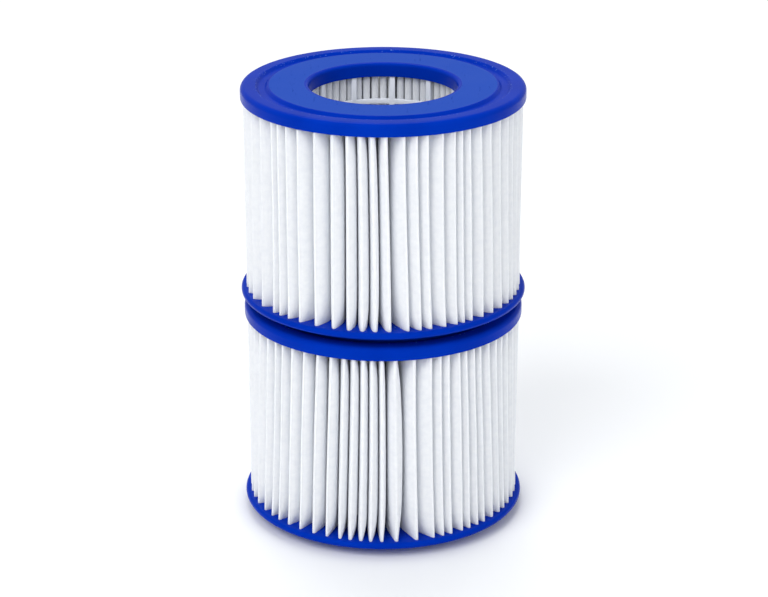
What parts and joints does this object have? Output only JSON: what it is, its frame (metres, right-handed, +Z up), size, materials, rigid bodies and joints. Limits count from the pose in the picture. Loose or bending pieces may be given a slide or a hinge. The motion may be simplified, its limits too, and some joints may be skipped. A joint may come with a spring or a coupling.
{
  "type": "filter cartridge",
  "caption": "Stacked pair of round pleated filter cartridges with cast end caps and a straight bore through both; the upper one lifts off.",
  "frame": {"origin": "centre of the lower cartridge's underside, on the surface it stands on", "axes": "+Z up the common axis of both bores; +Y away from the viewer, so the glued seams are at +Y"},
  "size_m": [0.106, 0.106, 0.166],
  "materials": {
    "cap": "satin",
    "fleece": "matte",
    "glue": "waxy",
    "cage": "satin"
  },
  "bodies": {
    "lower_cartridge": {"lower_top_cap": "cap", "lower_bottom_cap": "cap", "lower_pleated_media": "fleece", "lower_seam_glue": "glue", "lower_core_cage": "cage"},
    "upper_cartridge": {"upper_top_cap": "cap", "upper_bottom_cap": "cap", "upper_pleated_media": "fleece", "upper_seam_glue": "glue", "upper_core_cage": "cage"}
  },
  "joints": [
    {"name": "upper_lift", "type": "slide", "parent": "lower_cartridge", "child": "upper_cartridge", "axis": [0, 0, 1], "range_m": [0, 0.1]}
  ]
}
